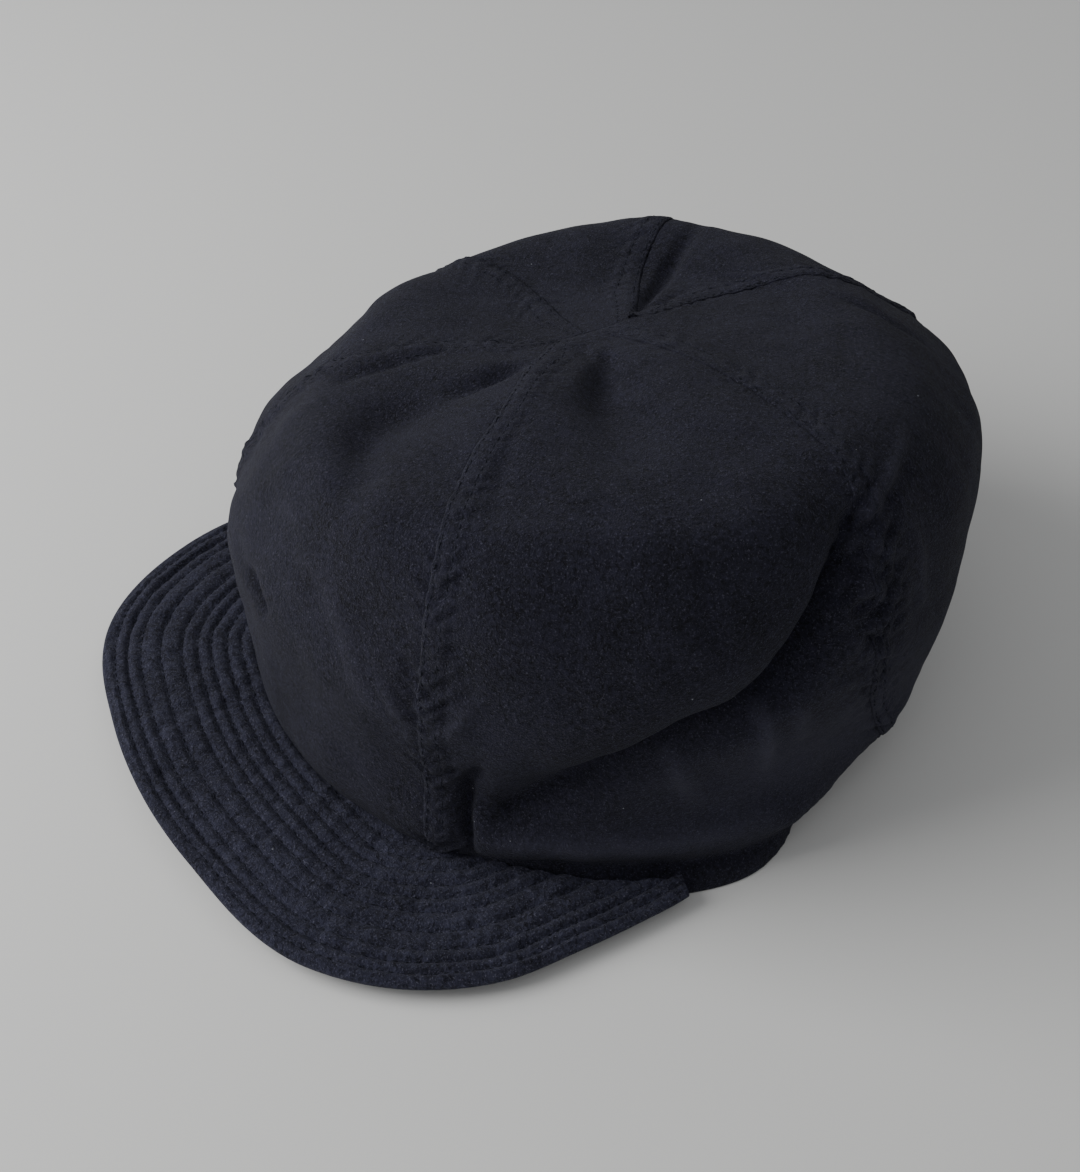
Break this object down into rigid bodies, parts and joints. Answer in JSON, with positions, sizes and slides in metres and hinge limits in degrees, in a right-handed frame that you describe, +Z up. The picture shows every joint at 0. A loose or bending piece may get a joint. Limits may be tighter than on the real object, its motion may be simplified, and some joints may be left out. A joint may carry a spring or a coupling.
{
  "type": "work cap",
  "caption": "Soft panelled work cap with felled seams, a slumped round crown, a short row-stitched visor and an open head hollow, lying on its hem.",
  "frame": {"origin": "centre of the bounding box, on the plane that the hem rests on", "axes": "+Z up, the visor points to -Y, the wearer's left is +X"},
  "size_m": [0.2272, 0.2802, 0.1227],
  "materials": {
    "crown_cloth": "brushed matte navy cloth",
    "visor_cloth": "brushed matte navy cloth, stitched in rows"
  },
  "bodies": {
    "root": {"panel_front": "crown_cloth", "panel_front_left": "crown_cloth", "panel_back_left": "crown_cloth", "panel_back": "crown_cloth", "panel_back_right": "crown_cloth", "panel_front_right": "crown_cloth", "visor": "visor_cloth"}
  },
  "joints": []
}
